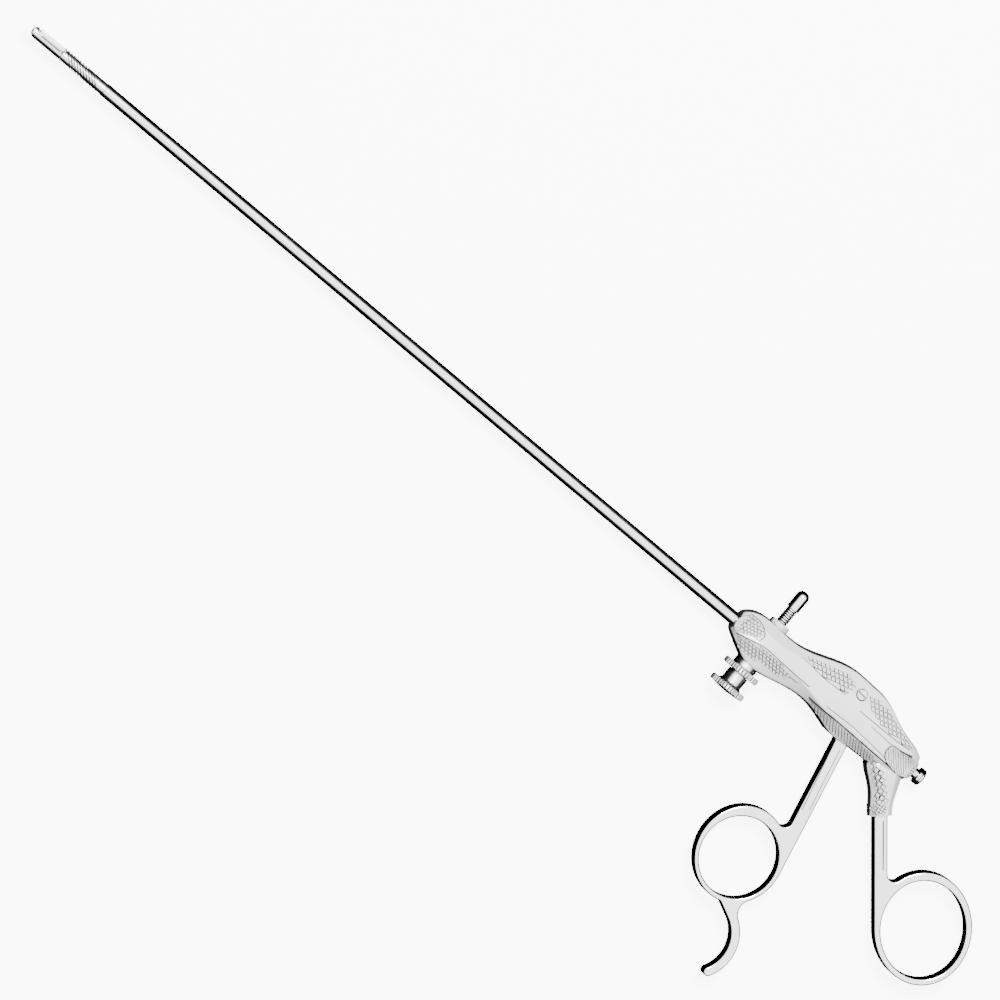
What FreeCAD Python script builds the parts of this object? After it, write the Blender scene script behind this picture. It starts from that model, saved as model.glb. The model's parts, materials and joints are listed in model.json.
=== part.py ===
"""Laparoscopic hook scissors with a moulded handle and two finger rings.

The instrument lies on its side. +X runs along the shaft from the jaws to the handle, +Y points to the
connector pin's side, and +Z is the side that carries the pivot screw's head. The origin is on the
shaft's axis, at the front face of the housing's nose. All lengths are in millimetres.
"""

import FreeCAD
import Part
import math
import os

V = FreeCAD.Vector
X_AXIS = V(1, 0, 0)
Y_AXIS = V(0, 1, 0)
Z_AXIS = V(0, 0, 1)

# Shaft
working_length = 331.0
sleeve_radius = 2.5
sleeve_wall = 0.3
tube_wall = 0.45
bare_length = 20.0
tube_in_core = 16.0
spigot_length = 4.0
flush_hole_radius = 1.2

# Jaws
jaw_length = 13.6
jaw_overlap = 0.4
jaw_back = 2.2
hook_radius = 2.2
hook_wrap = 112.0
hook_throat = 4.4
hook_throat_height = 1.0
jaw_nose_setback = 2.9
jaw_nose_round = 0.9
blade_edge_start = 5.0
shear_bevel = 0.9
jaw_pivot_depth = 4.1
jaw_pin_radius = 0.7
jaw_opening = 40.0
tail_height = 1.2
tail_thickness = 1.15
fork_radius = 2.3
fork_gap = 1.25

# Pull rod
rod_radius = 0.9
tongue_thickness = 0.7
tongue_half_height = 0.8
drive_pin_radius = 0.45
drive_pin_back = 4.6
knuckle_length = 5.4
knuckle_height = 4.4
knuckle_thickness = 2.4
cross_pin_radius = 1.0
seal_wire = 0.42

# Front lever
pivot_x = 50.9
pivot_y = 8.3
lever_swing = 16.0
lever_thickness = 6.4
boss_radius = 3.7
bush_radius = 2.1
screw_radius = 1.5
arm_belly = 0.6
arm_heel = 1.9
arm_height = 11.0
front_stem_x = 57.7
front_stem_y = -9.1
front_stem_angle = -77.2
front_stem_inside = 2.5
front_stem_to_ring = 51.1
front_ring_half_width = 14.1
front_ring_half_height = 14.6
front_ring_band = 2.1
front_ring_crown = 1.1

# Rear handle bar
leg_angle = -49.0
leg_end_x = 85.8
leg_end_y = -19.9
leg_end_width = 8.2
leg_end_thickness = 9.6
leg_length = 20.0
leg_root_width = 12.2
leg_root_thickness = 13.0
leg_lean = 1.3
tang_length = 13.0
rear_stem_to_ring = 40.9
rear_ring_half_width = 15.2
rear_ring_half_height = 17.4
rear_ring_band = 2.5
rear_ring_crown = 0.4

# Both handles
stem_width = 5.0
ring_edge = 0.8
ring_corner = 2.6

# Finger hook, in the ring's own frame
hook_place = -80.0
hook_heading = -38.0
hook_end_heading = -133.0
hook_run = 6.5
hook_bend = 14.5
hook_width = 3.5
hook_inner_root = 1.6
hook_outer_root = 5.0

# Housing
housing_end = 83.2
nose_length = 20.0
nose_top = 7.4
nose_bottom = -8.7
crown_height = 13.2
belly_depth = 9.0
body_half = 9.2
flank_half = 8.9
corner_round = 1.6
seam_width = 0.24
seam_depth = 0.35
spot_depth = 0.5
screw_head_seat = 6.9
screw_head_radius = 2.0
screw_head_height = 1.2
screw_slot_width = 0.6
screw_slot_depth = 0.6
screw_slot_angle = -5.0
shell_screw_radius = 1.1
shell_screw_head = 1.9
shell_screw_seat = 7.2
shell_screw_reach = 4.0

# Thumb scallops at the rear and shallow scoops at the nose, on both flanks
scallop_start = 70.6
scallop_y = -1.2
scallop_slope = 19.0
scallop_radius = 5.5
scoop_start = 10.6
scoop_y = 1.4
scoop_slope = 16.0
scoop_radius = 12.0

# Core block and nose bush
core_start = 6.0
core_length = 20.0
core_radius = 4.6
nose_bush_radius = 3.3
nose_bush_lip = 2.9
nose_bush_step = 1.0

# Connector pin
fitting_x = 13.7
pin_flange_radius = 3.9
pin_flange_height = 2.0
pin_neck_radius = 2.15
pin_neck_length = 6.2
pin_rib_depth = 0.4
pin_ribs = 7
pin_head_radius = 2.45
pin_head_length = 7.6
pin_stud_radius = 1.4

# Flush port
port_neck_radius = 4.6
port_neck_height = 2.6
knurl_radius = 7.3
knurl_height = 2.3
knurl_depth = 0.35
knurl_count = 36
port_barrel_radius = 4.0
port_barrel_length = 5.2
port_flare = 0.8
port_spigot_radius = 3.2
port_spigot_short = 1.2
port_bore_radius = 2.1
cap_plug_length = 3.4
cap_dome = 0.5
cap_seal_height = 0.9

# Push button
button_y = -0.8
button_travel = 2.0
button_radius = 3.2
button_height = 2.4
button_round = 0.9
button_groove = 0.4
button_neck_radius = 2.0
button_stem_radius = 1.3
collar_radius = 3.75
collar_height = 1.6
collar_depth = 3.6
collar_floor = 1.0
collar_bore = 2.4
collar_knurls = 24
spring_radius = 2.1
spring_wire = 0.32
spring_turns = 6
spring_length = 5.9
clip_thickness = 0.8
latch_length = 6.0
latch_height = 3.2
latch_thickness = 3.2
latch_ramp = 2.0
latch_setback = 2.0

# Fits
contact_gap = 0.03
running_gap = 0.05
pin_slot_gap = 0.12
knob_gap = 0.15
swing_gap = 0.3
slide_gap = 0.25
cap_gap = 0.1

# Places that follow from the sizes above
tip_x = -working_length
mouth_x = tip_x + jaw_length
jaw_pivot_x = mouth_x + jaw_pivot_depth
sleeve_front = mouth_x + bare_length
tube_radius = sleeve_radius - sleeve_wall
tube_bore = tube_radius - tube_wall
core_end = core_start + core_length
tube_end = core_start + tube_in_core
throw_arm = pivot_y
rod_travel = throw_arm * math.radians(lever_swing)
drive_pin_x = jaw_pivot_x + drive_pin_back
fork_slot_end = drive_pin_x + tail_height + pin_slot_gap + 1.1
rod_shoulder = fork_slot_end + slide_gap
arm_cheek = knuckle_thickness / 2 + slide_gap
knuckle_x = pivot_x
lever_half = lever_thickness / 2
port_ring_low = nose_bottom - port_neck_height - knurl_height
port_skirt_low = port_ring_low - port_barrel_length
collar_base = housing_end - collar_depth
spring_front = collar_base - swing_gap - clip_thickness - spring_length
latch_end = spring_front - latch_setback
far = 3 * housing_end


def along_x(radius, start, end, y=0.0, z=0.0):
    return Part.makeCylinder(radius, end - start, V(start, y, z), X_AXIS)


def along_y(radius, start, end, x=0.0, z=0.0):
    return Part.makeCylinder(radius, end - start, V(x, start, z), Y_AXIS)


def along_z(radius, start, end, x=0.0, y=0.0):
    return Part.makeCylinder(radius, end - start, V(x, y, start), Z_AXIS)


def through_z(radius, x, y):
    """A round hole right through the instrument, along Z."""
    return along_z(radius, -body_half - 1, body_half + 1, x, y)


def block(x0, x1, y0, y1, z0, z1):
    return Part.makeBox(x1 - x0, y1 - y0, z1 - z0, V(x0, y0, z0))


def plate(points, low, high):
    """An upright plate on straight sides, from z = low to z = high."""
    corners = [V(x, y, low) for x, y in points]
    wire = Part.makePolygon(corners + corners[:1])
    return Part.Face(wire).extrude(V(0, 0, high - low))


def fuse(solids):
    whole = solids[0]
    for solid in solids[1:]:
        whole = whole.fuse(solid)
    return whole.removeSplitter()


def heading(degrees):
    turn = math.radians(degrees)
    return V(math.cos(turn), math.sin(turn), 0)


def left_of(direction):
    return V(-direction.y, direction.x, 0)


def rounded_wire(corners, radius):
    """A closed wire through the corners, each rounded by an arc."""
    edges = []
    joints = []
    count = len(corners)
    for i, corner in enumerate(corners):
        inward = (corner - corners[i - 1]).normalize()
        outward = (corners[(i + 1) % count] - corner).normalize()
        half_turn = inward.getAngle(outward) / 2
        reach = radius * math.tan(half_turn)
        bisector = (outward - inward).normalize()
        middle = corner + bisector * (radius / math.cos(half_turn) - radius)
        joints.append((corner - inward * reach, middle, corner + outward * reach))
    for i, (start, middle, end) in enumerate(joints):
        edges.append(Part.LineSegment(joints[i - 1][2], start).toShape())
        edges.append(Part.Arc(start, middle, end).toShape())
    return Part.Wire(edges)


# Housing

def body_sections():
    """Rows of station, top, bottom, half thickness, upper ridge and lower ridge.

    Each list gives shares: of its stretch of the length, of its height above and below the shaft's axis,
    of the half thickness, and the ridges as shares of the top and of the bottom.
    """
    nose = [
        (0.0, 0.50, 0.38, 0.42, 0.43, 0.45),
        (0.08, 0.72, 0.51, 0.59, 0.49, 0.60),
        (0.25, 0.93, 0.72, 0.78, 0.52, 0.43),
        (0.50, 1.0, 1.0, 0.89, 0.49, 0.19),
        (1.0, 0.95, 1.01, 0.90, 0.49, 0.15),
    ]
    back = [
        (0.158, 0.67, 0.73, 0.89, 0.54, 0.23),
        (0.316, 0.93, 0.71, 0.96, 0.42, 0.55),
        (0.475, 1.0, 1.0, 1.0, 0.37, 0.51),
        (0.633, 0.95, 0.98, 1.0, 0.33, 0.54),
        (0.807, 0.64, 0.93, 0.91, 0.48, 0.61),
        (0.941, 0.455, 0.73, 0.78, 0.57, 0.74),
        (1.0, 0.333, 0.60, 0.61, 0.55, 0.65),
    ]
    rows = []
    for start, length, above, below, shares in (
            (0.0, nose_length, nose_top, nose_bottom, nose),
            (nose_length, housing_end - nose_length, crown_height, -belly_depth, back)):
        for along, top, bottom, half, upper, lower in shares:
            high = above * top
            low = below * bottom
            rows.append((start + length * along, high, low, body_half * half, high * upper, low * lower))
    return rows


def body_section(x, top, bottom, half, upper_ridge, lower_ridge, inset):
    top -= inset
    bottom += inset
    half -= inset
    edge = 0.55 * half
    corners = [
        V(x, top, edge), V(x, upper_ridge, half), V(x, lower_ridge, half), V(x, bottom, edge),
        V(x, bottom, -edge), V(x, lower_ridge, -half), V(x, upper_ridge, -half), V(x, top, -edge),
    ]
    return rounded_wire(corners, corner_round * min(1.0, half / (0.87 * body_half)))


def leg_frame(back, side=0.0, z=0.0):
    """A point of the leg: back mm from its end towards the body, side mm towards the rear."""
    down = heading(leg_angle)
    return V(leg_end_x, leg_end_y, z) - down * back + left_of(down) * side


def leg_section(back, shift, half_width, half_thickness, inset):
    wide = half_width - inset
    thick = half_thickness - inset
    edge = 0.55 * thick
    flat = 0.55 * wide
    corners = [
        leg_frame(back, shift + wide, edge), leg_frame(back, shift + flat, thick),
        leg_frame(back, shift - flat, thick), leg_frame(back, shift - wide, edge),
        leg_frame(back, shift - wide, -edge), leg_frame(back, shift - flat, -thick),
        leg_frame(back, shift + flat, -thick), leg_frame(back, shift + wide, -edge),
    ]
    return rounded_wire(corners, 0.75 * corner_round)


def leg_sections():
    """Rows of distance from the leg's end, lean towards the rear, half width and half thickness."""
    end_half = leg_end_width / 2
    end_thick = leg_end_thickness / 2
    root_half = leg_root_width / 2
    root_thick = leg_root_thickness / 2
    return [
        (0.0, 0.0, end_half, 0.96 * end_thick),
        (0.06 * leg_length, 0.0, end_half, end_thick),
        (0.30 * leg_length, 0.45 * leg_lean, 1.07 * end_half, 1.08 * end_thick),
        (0.65 * leg_length, leg_lean, 0.95 * root_half, root_thick),
        (leg_length, 0.7 * leg_lean, root_half, 0.98 * root_thick),
    ]


def housing_blank(inset=0.0):
    """The moulded form: a lofted body with a lofted leg, or the same form drawn in by an inset."""
    body = Part.makeLoft([body_section(*row, inset) for row in body_sections()], True, False)
    leg = Part.makeLoft([leg_section(*row, inset) for row in leg_sections()], True, False)
    flat = flank_half - inset
    return body.fuse(leg).common(block(-1, far, -far, far, -flat, flat))


def flank_scoop(x, y, side, slope, radius, forward):
    """A round cutter that enters the flank at x and sinks into it, forward or rearward of there."""
    half = flank_height(x)
    tilt = math.radians(slope)
    direction = V(forward * math.cos(tilt), 0, -side * math.sin(tilt))
    outward = V(forward * math.sin(tilt), 0, side * math.cos(tilt))
    start = V(x, y, side * half) + outward * radius - direction * radius
    return Part.makeCylinder(radius, housing_end / 2, start, direction)


def flank_height(x):
    """Half thickness of the body at x, between the two ridges."""
    rows = body_sections()
    for low, high in zip(rows, rows[1:]):
        if low[0] <= x <= high[0]:
            share = (x - low[0]) / (high[0] - low[0])
            return min(flank_half, low[3] + share * (high[3] - low[3]))
    return flank_half


def seam_groove():
    """The shadow line along the joint of the two shells."""
    half = seam_width / 2
    return block(-1, far, -far, far, -half, half).cut(housing_blank(seam_depth))


def housing_holes():
    """Everything that the two shells make room for."""
    screw_room = screw_head_radius + slide_gap
    holes = [
        along_x(nose_bush_lip, -1, core_start),
        along_x(nose_bush_radius, nose_bush_step, core_start),
        along_x(core_radius, core_start, core_end),
        along_x(knuckle_height / 2 + swing_gap + 0.5, core_end, knuckle_x + knuckle_length),
        along_y(pin_stud_radius, 0, nose_top + 1, fitting_x),
        along_y(pin_flange_radius, nose_top - spot_depth, nose_top + 3, fitting_x),
        along_y(port_neck_radius, nose_bottom - 3, nose_bottom + spot_depth, fitting_x),
        along_y(port_spigot_radius, nose_bottom - 1, 0, fitting_x),
        through_z(screw_radius, pivot_x, pivot_y),
        along_z(screw_room, screw_head_seat, body_half + 1, pivot_x, pivot_y),
        along_z(screw_room, -body_half - 1, -screw_head_seat, pivot_x, pivot_y),
        button_room(),
        tang(),
        lever_room(),
        seam_groove(),
    ]
    for side in (1, -1):
        holes.append(flank_scoop(scallop_start, scallop_y, side, scallop_slope, scallop_radius, 1))
        holes.append(flank_scoop(scoop_start, scoop_y, side, scoop_slope, scoop_radius, -1))
    holes.extend(tang_pin(back) for back in tang_pin_places())
    holes.extend(shell_screw_room(x, y) for x, y in shell_screw_places())
    return holes


def button_room():
    latch_start = latch_end - latch_length - button_travel - 2 * swing_gap
    half_y = latch_height / 2 + slide_gap
    half_z = latch_thickness / 2 + slide_gap
    sleeve = collar_bore + 0.6
    return fuse([
        along_x(spring_radius + 0.9, spring_front, collar_base, button_y),
        along_x(sleeve, collar_base, housing_end + 1, button_y),
        along_x(button_stem_radius + slide_gap, latch_start, spring_front, button_y),
        block(latch_start, latch_end, button_y - half_y, button_y + half_y, -half_z, half_z),
    ])


def lever_room():
    """The space that the lever's upper part sweeps through, with a gap all round."""
    steps = 6
    rooms = []
    for i in range(steps + 1):
        room = lever_top(swing_gap, belly_depth / 2)
        room.rotate(V(pivot_x, pivot_y, 0), Z_AXIS, -lever_swing * i / steps)
        rooms.append(room)
    return fuse(rooms)


def shell_screw_places():
    """In front of the lever's room, and above and below the button's."""
    front = pivot_x - 0.245 * housing_end
    rear = pivot_x + 0.2 * housing_end
    return [(front, 0.63 * pivot_y), (rear, 0.75 * pivot_y), (rear - 1, -0.75 * pivot_y)]


def shell_screw(x, y):
    """A slotted cheese-head screw that goes in from the far side."""
    shank = along_z(shell_screw_radius, -shell_screw_seat, shell_screw_reach, x, y)
    head = along_z(shell_screw_head, -shell_screw_seat, 1.3 - shell_screw_seat, x, y)
    slot = block(x - 3, x + 3, y - 0.25, y + 0.25, -shell_screw_seat - 1, 0.6 - shell_screw_seat)
    return shank.fuse(head).cut(slot)


def shell_screw_room(x, y):
    shank = along_z(shell_screw_radius, -shell_screw_seat, shell_screw_reach, x, y)
    return shank.fuse(along_z(shell_screw_head, -body_half - 1, 1.3 - shell_screw_seat, x, y))


def shell_screws():
    return Part.makeCompound([shell_screw(x, y) for x, y in shell_screw_places()])


def housing_shells():
    whole = housing_blank()
    for hole in housing_holes():
        whole = whole.cut(hole)
    left = whole.common(block(-1, far, -far, far, 0, far))
    right = whole.common(block(-1, far, -far, far, -far, 0))
    return left, right


# Lever and handle bar

def oval(half_width, half_height, low):
    """An ellipse about the Z axis, with its longer half axis along X or Y as the sizes say."""
    curve = Part.Ellipse(V(0, 0, low), max(half_width, half_height), min(half_width, half_height))
    if half_height > half_width:
        curve.rotate(FreeCAD.Placement(V(0, 0, 0), FreeCAD.Rotation(Z_AXIS, 90)))
    return curve


def ring_blank(outer_x, outer_y, stem_length):
    """An oval disc at the origin and a bar that stands up along +Y, in line with the disc's flank."""
    inner_edge = outer_x - stem_width
    meet = math.acos(inner_edge / outer_x)
    curve = oval(outer_x, outer_y, -lever_half)
    flank = V(outer_x, 0, -lever_half)
    corner = V(inner_edge, outer_y * math.sin(meet), -lever_half)
    start = curve.parameter(corner)
    end = curve.parameter(flank)
    if end <= start:
        end += 2 * math.pi
    top_inner = V(inner_edge, stem_length, -lever_half)
    top_outer = V(outer_x, stem_length, -lever_half)
    outline = Part.Wire([
        Part.ArcOfEllipse(curve, start, end).toShape(),
        Part.LineSegment(flank, top_outer).toShape(),
        Part.LineSegment(top_outer, top_inner).toShape(),
        Part.LineSegment(top_inner, corner).toShape(),
    ])
    blank = Part.Face(outline).extrude(V(0, 0, lever_thickness))
    return blank.makeFillet(ring_corner, upright_edges(blank, corner, 0.1))


def upright_edges(solid, place, reach):
    """The edges along Z that pass within reach of a place."""
    found = []
    for edge in solid.Edges:
        upright = abs(edge.tangentAt(edge.FirstParameter).z) > 0.99
        if upright and math.hypot(edge.CenterOfMass.x - place.x, edge.CenterOfMass.y - place.y) < reach:
            found.append(edge)
    return found


def ring_plate(half_width, half_height, band, crown, stem_length, hook=None):
    """A finger ring with its bar, all its rims rounded. The crown thickens the band at the bar's end."""
    outer_x = half_width + band
    outer_y = half_height + band + crown
    whole = ring_blank(outer_x, outer_y, stem_length)
    if hook:
        whole = hook(whole)
    hole = Part.Face(Part.Wire([oval(half_width, half_height, -lever_half).toShape()]))
    hole = hole.extrude(V(0, 0, lever_thickness))
    hole.translate(V(0, -crown, 0))
    whole = whole.cut(hole)
    rims = [e for e in whole.Edges if abs(abs(e.CenterOfMass.z) - lever_half) < 0.01
            and e.CenterOfMass.y < stem_length - 0.1]
    return whole.makeFillet(ring_edge, rims)


def stand(solid, angle, origin, local_point):
    """Turn a solid so that its +Y points against the given direction, and set local_point on origin."""
    solid.translate(V(-local_point[0], -local_point[1], 0))
    solid.rotate(V(0, 0, 0), Z_AXIS, angle + 90)
    solid.translate(V(origin[0], origin[1], 0))
    return solid


def lever_top(gap=0.0, reach=0.0):
    """The lever's part inside the housing: the boss, the arm and the bar's root, reach mm longer."""
    half = lever_half + gap
    boss = along_z(boss_radius + gap, -half, half, pivot_x, pivot_y)
    down = heading(front_stem_angle)
    side = left_of(down) * (stem_width / 2 + gap)
    stem = V(front_stem_x, front_stem_y, 0)
    inner = stem - down * front_stem_inside
    outer = stem + down * reach
    front = pivot_x - boss_radius - gap
    rear = pivot_x + boss_radius + gap
    corners = [
        V(front, pivot_y, 0), V(front - arm_belly, pivot_y - arm_height, 0), inner - side, outer - side,
        outer + side, inner + side, V(rear + arm_heel, 0.06 * pivot_y, 0), V(rear, pivot_y, 0),
    ]
    return boss.fuse(plate([(p.x, p.y) for p in corners], -half, half))


def with_finger_hook(ring):
    """Add the curl for the finger that rests outside the ring: a straight run, a bend and a round end."""
    place = math.radians(hook_place)
    middle_x = front_ring_half_width + front_ring_band / 2
    middle_y = front_ring_half_height + front_ring_crown + front_ring_band / 2
    start = V(middle_x * math.cos(place), middle_y * math.sin(place), -lever_half)
    out = heading(hook_heading)
    side = left_of(out) * (hook_width / 2)
    bend_start = start + out * hook_run
    centre = bend_start - left_of(out) * hook_bend
    wide = hook_width / 2
    root = start - out * front_ring_band
    run = [root - side, bend_start - side, bend_start + side, root + side]
    turn = hook_heading - hook_end_heading
    bend = Part.makeCylinder(hook_bend + wide, lever_thickness, centre, Z_AXIS, turn)
    bend = bend.cut(Part.makeCylinder(hook_bend - wide, lever_thickness, centre, Z_AXIS))
    bend.rotate(centre, Z_AXIS, hook_end_heading + 90)
    end = centre + heading(hook_end_heading + 90) * hook_bend
    knob = along_z(wide, -lever_half, lever_half, end.x, end.y)
    whole = fuse([ring, plate([(p.x, p.y) for p in run], -lever_half, lever_half), bend, knob])
    for side_point, radius in ((-side, hook_inner_root), (side, hook_outer_root)):
        corner = nearest_corner(whole, start + side_point, hook_run * 0.75)
        whole = whole.makeFillet(radius, [corner])
    return whole


def nearest_corner(solid, place, reach):
    """The upright edge nearest to a place."""
    edges = upright_edges(solid, place, reach)
    return min(edges, key=lambda e: math.hypot(e.CenterOfMass.x - place.x, e.CenterOfMass.y - place.y))


def rod_slot():
    """The lever's slot for the rod's cross pin. It is long enough for the arc that the lever makes."""
    wide = cross_pin_radius + slide_gap
    lift = throw_arm * (1 - math.cos(math.radians(lever_swing)))
    middle = pivot_y - throw_arm
    top = middle + slide_gap
    low = middle - throw_arm * (1 / math.cos(math.radians(lever_swing)) - 1) - lift - slide_gap
    ends = [along_z(wide, -lever_thickness, lever_thickness, pivot_x, y) for y in (low, top)]
    return fuse(ends + [block(pivot_x - wide, pivot_x + wide, low, top, -lever_thickness, lever_thickness)])


def front_lever():
    outer_x = front_ring_half_width + front_ring_band
    ring = ring_plate(front_ring_half_width, front_ring_half_height, front_ring_band, front_ring_crown,
                      front_stem_to_ring + front_stem_inside, with_finger_hook)
    foot = (outer_x - stem_width / 2, front_stem_to_ring)
    stand(ring, front_stem_angle, (front_stem_x, front_stem_y), foot)
    lever = fuse([lever_top(), ring])
    cheek_room = knuckle_height / 2 + cross_pin_radius + 1.0
    reach = 2 * knuckle_length
    gap = block(pivot_x - reach, pivot_x + reach, -cheek_room, cheek_room, -arm_cheek, arm_cheek)
    lever = lever.cut(rod_slot()).cut(gap)
    return lever.cut(through_z(bush_radius, pivot_x, pivot_y))


def tang():
    """The bar's end inside the leg."""
    half = stem_width / 2
    corners = [
        leg_frame(tang_length, half), leg_frame(tang_length, -half), leg_frame(0, -half), leg_frame(0, half),
    ]
    return plate([(p.x, p.y) for p in corners], -lever_half, lever_half)


def tang_pin_places():
    return [tang_length * 0.35, tang_length * 0.75]


def tang_pin(back):
    place = leg_frame(back)
    half = lever_half + 0.9
    return along_z(cross_pin_radius, -half, half, place.x, place.y)


def rear_handle():
    outer_x = rear_ring_half_width + rear_ring_band
    ring = ring_plate(rear_ring_half_width, rear_ring_half_height, rear_ring_band, rear_ring_crown,
                      rear_stem_to_ring + 0.5)
    ring = ring.mirror(V(0, 0, 0), X_AXIS)
    foot = (stem_width / 2 - outer_x, rear_stem_to_ring)
    stand(ring, leg_angle, (leg_end_x, leg_end_y), foot)
    handle = ring.fuse(tang())
    for back in tang_pin_places():
        handle = handle.cut(tang_pin(back))
    return handle.removeSplitter()


def tang_pins():
    return Part.makeCompound([tang_pin(back) for back in tang_pin_places()])


def pivot_screw():
    """Slotted screw through both shells and the lever's bush."""
    top = screw_head_seat + screw_head_height
    shank = along_z(screw_radius, -screw_head_seat, screw_head_seat, pivot_x, pivot_y)
    head = along_z(screw_head_radius, screw_head_seat, top, pivot_x, pivot_y)
    head = head.makeChamfer(0.25, [e for e in head.Edges if e.Closed and e.CenterOfMass.z > top - 0.1])
    return shank.fuse(head).cut(driver_slot(top))


def pivot_nut():
    low = -screw_head_seat - screw_head_height
    nut = along_z(screw_head_radius, low, -screw_head_seat, pivot_x, pivot_y)
    return nut.cut(driver_slot(low))


def driver_slot(face):
    """A screwdriver slot across the pivot, centred on the head's face."""
    half = screw_slot_width / 2
    reach = 2 * screw_head_radius
    slot = block(-reach, reach, -half, half, face - screw_slot_depth, face + screw_slot_depth)
    slot.rotate(V(0, 0, 0), Z_AXIS, screw_slot_angle)
    slot.translate(V(pivot_x, pivot_y, 0))
    return slot


def lever_bush():
    outer = along_z(bush_radius, -lever_half, lever_half, pivot_x, pivot_y)
    return outer.cut(through_z(screw_radius + running_gap, pivot_x, pivot_y))


# Shaft

def shaft_tube():
    tube = along_x(tube_radius, sleeve_front, tube_end).cut(along_x(tube_bore, sleeve_front, tube_end))
    return tube.cut(along_y(flush_hole_radius, -tube_radius - 1, 0, fitting_x))


def shaft_sleeve():
    """Insulation, from behind the bare stretch to the bush in the housing's nose."""
    return along_x(sleeve_radius, sleeve_front, 0).cut(along_x(tube_radius, sleeve_front, 0))


def nose_bush():
    lip = along_x(nose_bush_lip, 0, core_start)
    flange = along_x(nose_bush_radius, nose_bush_step, core_start)
    return lip.fuse(flange).cut(along_x(tube_radius, 0, core_start)).removeSplitter()


def core_block():
    """Steel block in the nose that takes the tube, the connector pin and the flush port."""
    core = along_x(core_radius, core_start, core_end)
    core = core.cut(along_x(tube_radius, core_start, tube_end))
    core = core.cut(along_x(rod_radius + slide_gap, tube_end, core_end))
    core = core.cut(along_x(seal_outer(), core_end - 2 * seal_wire - 2 * slide_gap, core_end))
    core = core.cut(along_y(pin_stud_radius, tube_radius + 0.8, core_radius, fitting_x))
    core = core.cut(along_y(port_spigot_radius, -core_radius - 1, -tube_radius - 1.0, fitting_x))
    return core.cut(along_y(flush_hole_radius, -core_radius, 0, fitting_x))


def seal_outer():
    return rod_radius + slide_gap + 2 * seal_wire


def rod_seal():
    """Ring in the core block's rear recess, round the pull rod."""
    middle = rod_radius + slide_gap + seal_wire
    return Part.makeTorus(middle, seal_wire, V(core_end - seal_wire - slide_gap, 0, 0), X_AXIS)


def fork_tip():
    """Steel front end with two cheeks that hold the jaws, and a spigot pressed into the tube."""
    body = along_x(fork_radius, mouth_x - 1, sleeve_front)
    rear_part = block(jaw_pivot_x, sleeve_front + 1, -far, far, -far, far)
    round_end = along_z(jaw_pivot_depth, -far, far, jaw_pivot_x)
    body = body.common(rear_part.fuse(round_end))
    body = body.fuse(along_x(tube_bore, sleeve_front, sleeve_front + spigot_length))
    body = body.cut(along_x(rod_radius + slide_gap, drive_pin_x, sleeve_front + spigot_length))
    body = body.cut(block(mouth_x - 1, fork_slot_end, -far, far, -fork_gap, fork_gap))
    return body.cut(through_z(jaw_pin_radius, jaw_pivot_x, 0))


def jaw_pivot_pin():
    half = fork_radius - 0.1
    return along_z(jaw_pin_radius, -half, half, jaw_pivot_x)


def blade_limits(side, inner, tail):
    """The round space that a blade keeps to: the shaft's outline, and the tail's thickness in the fork."""
    low, high = sorted((side * inner, side * fork_radius))
    end = fork_slot_end + 2
    room = along_x(fork_radius, tip_x - 1, end).common(block(tip_x - 1, end, -far, far, low, high))
    low, high = sorted((side * tail, side * far))
    cheek = along_z(jaw_pivot_depth + slide_gap, low, high, jaw_pivot_x)
    step = block(jaw_pivot_x, end, -far, far, low, high)
    return room.cut(cheek).cut(step)


def fixed_jaw():
    """The hooked jaw. Its end wraps round the tip of the moving one."""
    rear = jaw_pivot_x + jaw_pin_radius + 0.6
    centre = tip_x + hook_radius
    beak = V(centre, 0, 0) + heading(hook_wrap) * hook_radius
    throat = V(tip_x + hook_throat, jaw_overlap, 0)
    inside = V(tip_x + 0.57 * hook_throat, hook_throat_height, 0)
    outline = Part.Wire([
        Part.LineSegment(V(rear, jaw_overlap, 0), V(rear, -jaw_back, 0)).toShape(),
        Part.LineSegment(V(rear, -jaw_back, 0), V(centre, -hook_radius, 0)).toShape(),
        Part.Arc(V(centre, -hook_radius, 0), V(tip_x, 0, 0), beak).toShape(),
        Part.Arc(beak, inside, throat).toShape(),
        Part.LineSegment(throat, V(rear, jaw_overlap, 0)).toShape(),
    ])
    blade = Part.Face(outline).extrude(V(0, 0, fork_radius)).common(blade_limits(1, 0.0, fork_gap))
    front = tip_x + 0.8 * hook_throat
    bevel = plate([(front, -jaw_overlap / 2), (rear, -jaw_overlap / 2), (rear, jaw_back), (front, jaw_back)],
                  shear_bevel, far)
    return blade.cut(bevel).cut(through_z(jaw_pin_radius, jaw_pivot_x, 0))


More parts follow.
